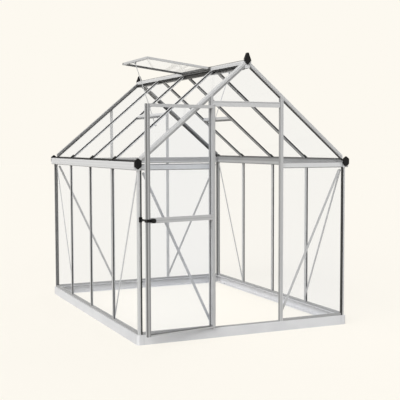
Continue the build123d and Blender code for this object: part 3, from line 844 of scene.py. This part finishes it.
@dataclass
class Eaves(SubAssembly):
    """Gutters with their end caps and the seal along the lower edge of the roof glass."""

    # Painted shade over the gutters' inner face, darker still at its lip, web and foot, along two beads of
    # the outer face and under its foot.
    inside: Zone = within(X_WAY, 0.8895)
    outside: Zone = beyond(X_WAY, 0.925)
    inner_side_shade: Stripe = Stripe(0.60, (inside,))
    inner_lip_shade: Stripe = Stripe(0.35, (inside, beyond(Z_WAY, 1.370)))
    inner_web_shade: Stripe = Stripe(0.70, (inside, Zone(Z_WAY, 1.3415, 1.3700)))
    inner_foot_shade: Stripe = Stripe(0.45, (inside, within(Z_WAY, 1.318)))
    lower_bead_shade: Stripe = Stripe(0.86, (outside, Zone(Z_WAY, 1.3305, 1.3345)))
    upper_bead_shade: Stripe = Stripe(0.86, (outside, Zone(Z_WAY, 1.3525, 1.3565)))
    outer_foot_shade: Stripe = Stripe(0.55, (outside, within(Z_WAY, 1.316)))
    # Gutters painted lighter than the other profiles: painted light.
    gutter_painted_light: float = 1.25
    clip_half: float = 0.0125
    seal_x: float = 0.9032
    seal_z: float = 1.3790
    seal: float = 0.005
    seal_height: float = 0.013
    seat_x: float = 0.8875
    seat_z: float = 1.3848
    seat_width: float = 0.008
    seat_height: float = 0.005

    def build(self) -> None:
        """Dresses the gutters and seals the edge of the glass."""
        self.profile("gutter_left gutter_right", Run.ALONG, self.gutter_painted_light, self.inner_side_shade,
                     self.lower_bead_shade, self.upper_bead_shade, self.outer_foot_shade, self.inner_lip_shade, self.inner_web_shade,
                     self.inner_foot_shade)
        dress(self.nodes, ("gutter_caps",), self.finishes.black)
        end = seal_reach()
        lines = (-end, *BAR_LINES, end)
        paths = []
        for start, stop in zip(lines, lines[1:]):
            low = start + (0.0 if start == -end else self.clip_half)
            high = stop - (0.0 if stop == end else self.clip_half)
            for flank in FLANKS:
                x = flank * self.seal_x
                paths.append(((x, low, self.seal_z), (x, high, self.seal_z)))
        self.strips("eave_seals", paths, self.seal, self.seal_height)
        seats = [((flank * self.seat_x, -end, self.seat_z), (flank * self.seat_x, end, self.seat_z))
                 for flank in FLANKS]
        self.strips("glass_seats", seats, self.seat_width, self.seat_height)


@dataclass
class Roof(SubAssembly):
    """Rakes, rafters, ridge, roof glass and its seals."""

    # Painted shade: the rakes' recessed lower strip, near black on the right rake and mid grey on the left
    # because of how the light falls, the rear rakes' strip and inner side, grooves under the right rafters,
    # the ridge's underside and the open vents' shadow along the ridge.
    left_recess_shade: Stripe = Stripe(0.62, (off_roof(-0.0268, -0.0104), LEFT_HALF))
    right_recess_shade: Stripe = Stripe(0.07, (off_roof(-0.0268, -0.0165), RIGHT_HALF))
    rear_recess_shade: Stripe = Stripe(0.4, (off_roof(-0.0268, -0.0104),))
    rear_inside_shade: Stripe = Stripe(0.45, (within(Y_WAY, 1.2145), off_roof(-FAR, 0.0095)))
    rafter_web: Zone = off_roof(-FAR, -0.0118)
    rafter_groove_shade: float = 0.25
    rafter_grooves: tuple[Band, Band] = ((0.0035, 0.0085), (-0.0085, -0.0035))
    ridge_underside_shade: Stripe = Stripe(0.04, (within(Z_WAY, 2.1225), within(Y_WAY, 1.2215)))
    left_vent_shade: Stripe = Stripe(0.30, (one_sided(Y_WAY, -BAY, 0.0), LEFT_HALF))
    right_vent_shade: Stripe = Stripe(0.30, (one_sided(Y_WAY, 0.0, BAY), RIGHT_HALF))
    ridge_line: float = 0.010
    ridge_line_shade: float = 0.35
    # Brightness of each profile, matched to how lit or shaded it shows: painted light on the left rafters
    # and ridge, painted shade on the rear rakes and right rafters.
    front_rake_tone: float = 1.0
    rear_rake_painted_shade: float = 0.85
    left_rafter_painted_light: float = 1.35
    right_rafter_painted_shade: float = 0.6
    ridge_painted_light: float = 1.2
    rafter_half: float = 0.0095
    foot_x: float = 0.900
    head_x: float = 0.037
    seal: float = 0.0028
    seal_height: float = 0.0085
    seal_gap: float = 0.0002
    ridge_seal: float = 0.0075

    def height(self, x: float, out: float) -> float:
        """Height at a distance from the middle, lifted square to the slope from the roof line."""
        return ROOF_APEX - x * math.tan(ROOF_PITCH) + out / math.cos(ROOF_PITCH)

    def build(self) -> None:
        """Dresses the roof, then seals its glass."""
        self.profile("rakes_front", Run.SLOPE, self.front_rake_tone, self.right_recess_shade, self.left_recess_shade)
        self.profile("rakes_rear", Run.SLOPE, self.rear_rake_painted_shade, self.rear_inside_shade, self.rear_recess_shade)
        self.profile("rafters_left", Run.SLOPE, self.left_rafter_painted_light)
        # Painted shade in the grooves each side of the right rafters, below the glass.
        groove_shades = [Stripe(self.rafter_groove_shade, (self.rafter_web, Zone(Y_WAY, line + low, line + high)))
                   for line in (0.0, BAY) for low, high in self.rafter_grooves]
        self.profile("rafters_right", Run.SLOPE, self.right_rafter_painted_shade, *groove_shades)
        top = beyond(Z_WAY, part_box("ridge_beam")[1].z - self.ridge_line)
        self.profile("ridge_beam", Run.ALONG, self.ridge_painted_light, self.ridge_underside_shade, self.left_vent_shade,
                     self.right_vent_shade, Stripe(self.ridge_line_shade, (top,)))
        dress(self.nodes, ("roof_panes_left", "roof_panes_right"), self.finishes.glass)
        dress(self.nodes, ("ridge_caps", "rafter_clips"), self.finishes.black)
        self.seal_glass()

    def seal_glass(self) -> None:
        """Runs seals down each side of the rafters and along the ridge, except at the open vents."""
        out = -self.seal_height / 2 - self.seal_gap
        foot = self.height(self.foot_x, out)
        head = self.height(self.head_x, out)
        paths = []
        for line in BAR_LINES:
            for way in FLANKS:
                y = line + way * (self.rafter_half + self.seal / 2)
                paths += [((flank * self.foot_x, y, foot), (flank * self.head_x, y, head))
                          for flank in FLANKS]
        self.strips("roof_glass_seals", paths, self.seal, self.seal_height)
        end = seal_reach()
        spans = {-1: ((-end, -BAY), (0.0, end)), 1: ((-end, 0.0), (BAY, end))}
        x = self.head_x + self.ridge_seal / 2
        z = self.height(x, -self.seal_height / 2)
        edges = [((flank * x, low, z), (flank * x, high, z))
                 for flank, pair in spans.items() for low, high in pair]
        self.strips("ridge_seals", edges, self.ridge_seal, self.ridge_seal)


@dataclass
class Vents(SubAssembly):
    """Roof vents with their bars and stays."""

    # Painted shade on the vent frames' head and middle rails and under the bars.
    head_rail_shade: Stripe = Stripe(0.22, (within(X_WAY, 0.056),))
    middle_rail_shade: Stripe = Stripe(0.22, (within(Y_WAY, 0.030),))
    bar_underside_shade: Stripe = Stripe(0.3, (within(Z_WAY, 1.740),))
    leaf_tone: float = 0.95
    bar_tone: float = 1.0
    stay_tone: float = 1.0
    bolt_inset: float = 0.008
    bolt_radius: float = 0.0035

    def build(self) -> None:
        """Dresses the vents and bolts the stays' brackets."""
        self.profile("vent_frame_left vent_frame_right", Run.ALONG, self.leaf_tone, self.head_rail_shade,
                     self.middle_rail_shade)
        self.profile("vent_bars stay_brackets", Run.ALONG, self.bar_tone, self.bar_underside_shade)
        self.profile("vent_stays", Run.UPRIGHT, self.stay_tone)
        dress(self.nodes, ("vent_panes",), self.finishes.glass)
        low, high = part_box("stay_brackets")
        x = high.x - self.bolt_inset
        y = high.y - self.bolt_inset
        points = [(side * x, side * y, low.z) for side in FLANKS]
        self.bolts("stay_bolts", points, [(0.0, 0.0, -1.0)] * len(points), self.bolt_radius)


@dataclass
class Door(SubAssembly):
    """Door posts and header, and the leaf with its handle and hinges."""

    # Painted shade in the door posts' grooves and over the whole left post, in the header's bead, along the
    # free stile's edge and groove, and in the rails' grooves.
    right_post_groove_shade: Stripe = Stripe(0.55, (one_sided(X_WAY, 0.2915, 0.2985),))
    right_post_edge_shade: Stripe = Stripe(0.75, (one_sided(X_WAY, 0.3085, 0.3140),))
    left_post_shade: Stripe = Stripe(0.80, (LEFT_HALF,))
    left_post_edge_shade: Stripe = Stripe(0.35, (one_sided(X_WAY, -0.3225, -0.3150),))
    header_bead_shade: Stripe = Stripe(0.62, (Zone(Z_WAY, 1.8255, 1.8310),))
    stile_edge_shade: Stripe = Stripe(0.34, (on_leaf(ALONG_LEAF, 0.5960, FAR), on_leaf(THROUGH_LEAF, 0.0, 0.014)))
    stile_groove_shade: Stripe = Stripe(0.60, (on_leaf(ALONG_LEAF, 0.5700, 0.5870),))
    middle_rail_groove_shade: Stripe = Stripe(0.80, (Zone(Z_WAY, 0.9425, 0.9475),))
    foot_rail_groove_shade: Stripe = Stripe(0.30, (Zone(Z_WAY, 0.096, 0.104),))
    post_tone: float = 1.0
    header_tone: float = 1.08
    stile_tone: float = 0.95
    rail_tone: float = 0.98
    bracket_tone: float = 0.95

    def build(self) -> None:
        """Dresses the door and its frame."""
        self.profile("door_posts", Run.UPRIGHT, self.post_tone, self.right_post_groove_shade,
                     self.right_post_edge_shade, self.left_post_shade, self.left_post_edge_shade)
        self.profile("door_header", Run.ACROSS, self.header_tone, self.header_bead_shade)
        self.profile("door_stiles", Run.UPRIGHT, self.stile_tone, self.stile_edge_shade, self.stile_groove_shade)
        self.profile("door_rails", Run.ACROSS, self.rail_tone, self.middle_rail_groove_shade,
                     self.foot_rail_groove_shade)
        dress(self.nodes, ("door_panes",), self.finishes.glass)
        self.profile("hinge_brackets", Run.UPRIGHT, self.bracket_tone)
        dress(self.nodes, ("door_catch", "door_handle"), self.finishes.black)


@dataclass(frozen=True)
class Sun:
    """A wide, soft sun lamp."""

    name: str
    towards: Point
    strength: float
    spread: float

    def lift(self) -> float:
        """Light that it gives a level surface, where one is full."""
        return self.strength * Vector(self.towards).normalized().z / math.pi

    def build(self) -> None:
        """Makes the lamp, which glass and metal don't mirror."""
        data = bpy.data.lights.new(self.name, "SUN")
        data.energy = self.strength
        data.angle = math.radians(self.spread)
        lamp = bpy.data.objects.new(self.name, data)
        lamp.rotation_euler = Vector(self.towards).to_track_quat("Z", "Y").to_euler()
        lamp.visible_glossy = False
        lamp.visible_transmission = False
        bpy.context.scene.collection.objects.link(lamp)


@dataclass(frozen=True)
class Studio:
    """Plain pale floor, soft lamps and the background that the camera sees."""

    background: Colour = (0.982, 0.947, 0.871)
    floor_half: float = 60.0
    glow_share: float = 0.80
    bounce: Colour = (0.30, 0.30, 0.30)
    fill: float = 0.30
    suns: tuple[Sun, ...] = (
        Sun("key", (-0.75, -0.38, 0.58), 2.9, 50.0),
        Sun("front", (0.15, -0.95, 0.35), 0.9, 60.0),
        Sun("back", (0.85, 0.5, 0.4), 1.0, 80.0),
    )

    def build(self) -> None:
        """Makes the floor, the world and the lamps."""
        self.floor()
        self.world()
        for sun in self.suns:
            sun.build()

    def seen(self, graph: NodeGraph) -> bpy.types.NodeSocket:
        """One where a camera, mirror or glass ray looks, else zero.

        Args:
            graph: graph to add to.

        Returns:
            The mask.
        """
        rays = graph.add("ShaderNodeLightPath").outputs
        both = graph.math("MAXIMUM", rays["Is Camera Ray"], rays["Is Glossy Ray"])
        return graph.math("MAXIMUM", both, rays["Is Transmission Ray"])

    def floor(self) -> None:
        """Makes the floor, which keeps the object's shadow and meets the background unseen."""
        half = self.floor_half
        corners = [(-half, -half, 0), (half, -half, 0), (half, half, 0), (-half, half, 0)]
        mesh = bpy.data.meshes.new("floor")
        mesh.from_pydata(corners, [], [tuple(range(len(corners)))])
        floor = bpy.data.objects.new("floor", mesh)
        bpy.context.scene.collection.objects.link(floor)
        mesh.materials.append(self.floor_finish())

    def floor_finish(self) -> bpy.types.Material:
        """Makes the floor's material, which glows just enough to match the background.

        Returns:
            The material.
        """
        material, graph = new_material("studio_floor")
        lit = self.fill + sum(sun.lift() for sun in self.suns)
        strength = (1.0 - (1.0 - self.glow_share) * lit) / self.glow_share
        inputs = {"Color": (*self.background, 1.0), "Strength": strength}
        glow = graph.add("ShaderNodeEmission", inputs).outputs["Emission"]
        pale = graph.mix(self.glow_share, graph.diffuse(self.background), glow)
        dim = graph.diffuse(self.bounce)
        graph.end("ShaderNodeOutputMaterial", graph.mix(self.seen(graph), dim, pale))
        return material

    def world(self) -> None:
        """Makes the surrounding light and the pale background."""
        world = bpy.data.worlds.new("studio")
        bpy.context.scene.world = world
        world.use_nodes = True
        graph = NodeGraph(world.node_tree)
        white = {"Color": (1.0, 1.0, 1.0, 1.0), "Strength": self.fill}
        light = graph.add("ShaderNodeBackground", white).outputs["Background"]
        pale = {"Color": (*self.background, 1.0)}
        paper = graph.add("ShaderNodeBackground", pale).outputs["Background"]
        graph.end("ShaderNodeOutputWorld", graph.mix(self.seen(graph), light, paper))


@dataclass(frozen=True)
class PhotoCamera:
    """Camera at the photograph's viewpoint, fitted to the greenhouse's plan."""

    place: Point = (-3.0599, -7.1433, 1.4976)
    yaw: float = 24.137
    pitch: float = 3.701
    roll: float = -0.151
    focal_px: float = 848.1
    frame_px: float = 400.0
    sensor_mm: float = 36.0

    def build(self) -> None:
        """Makes the camera and sets it as the scene's."""
        yaw = math.radians(self.yaw)
        pitch = math.radians(self.pitch)
        roll = math.radians(self.roll)
        reach = math.cos(pitch)
        forward = Vector((math.sin(yaw) * reach, math.cos(yaw) * reach, -math.sin(pitch)))
        level = Vector((math.cos(yaw), -math.sin(yaw), 0.0))
        upward = level.cross(forward)
        right = math.cos(roll) * level + math.sin(roll) * upward
        above = math.cos(roll) * upward - math.sin(roll) * level
        turn = Matrix((right, above, -forward)).transposed()
        data = bpy.data.cameras.new("photo")
        data.sensor_width = self.sensor_mm
        data.lens = self.focal_px / self.frame_px * self.sensor_mm
        camera = bpy.data.objects.new("photo", data)
        camera.matrix_world = Matrix.Translation(self.place) @ turn.to_4x4()
        bpy.context.scene.collection.objects.link(camera)
        bpy.context.scene.camera = camera


def main() -> None:
    """Builds the dressed greenhouse in order."""
    logging.basicConfig(level=logging.INFO, format="%(message)s")
    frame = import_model()
    bpy.context.scene.view_settings.view_transform = "Standard"
    PhotoCamera().build()
    finishes = Finishes()
    for part in (Base, Walls, Eaves, Roof, Vents, Door):
        part(frame["nodes"], finishes).build()
    Studio().build()


if __name__ == "__main__":
    main()
